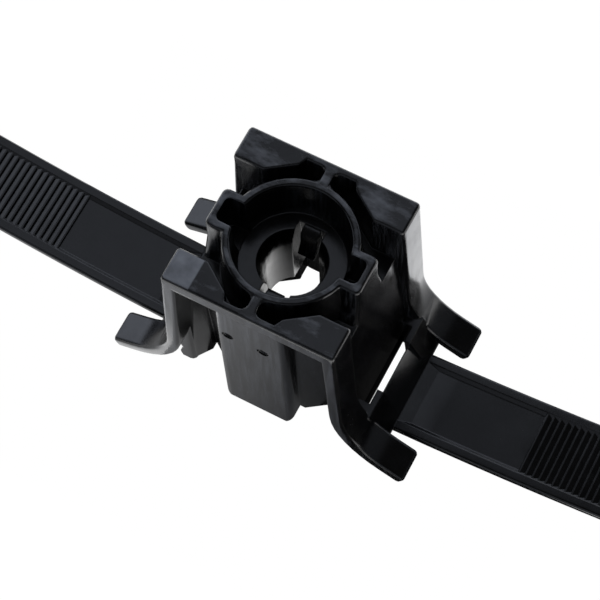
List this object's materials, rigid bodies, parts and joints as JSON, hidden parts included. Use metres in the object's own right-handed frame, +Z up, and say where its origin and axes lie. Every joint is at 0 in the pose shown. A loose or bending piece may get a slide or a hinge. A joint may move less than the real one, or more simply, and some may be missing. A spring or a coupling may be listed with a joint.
{
  "type": "standoff cable tie",
  "caption": "Stand-off cable tie moulded in one piece: a ring socket that pushes on to a stud, flared feet, and toothed straps that loop round bundles and back through slots.",
  "frame": {"origin": "middle of the tie at the level of the feet, under the stud hole", "axes": "+X along the straps, +Y across them, +Z up along the stud hole towards the mouth of the ring socket"},
  "size_m": [0.2426, 0.0264, 0.0353],
  "materials": {
    "nylon": "satin"
  },
  "bodies": {
    "root": {"standoff_tie": "nylon"}
  },
  "joints": []
}
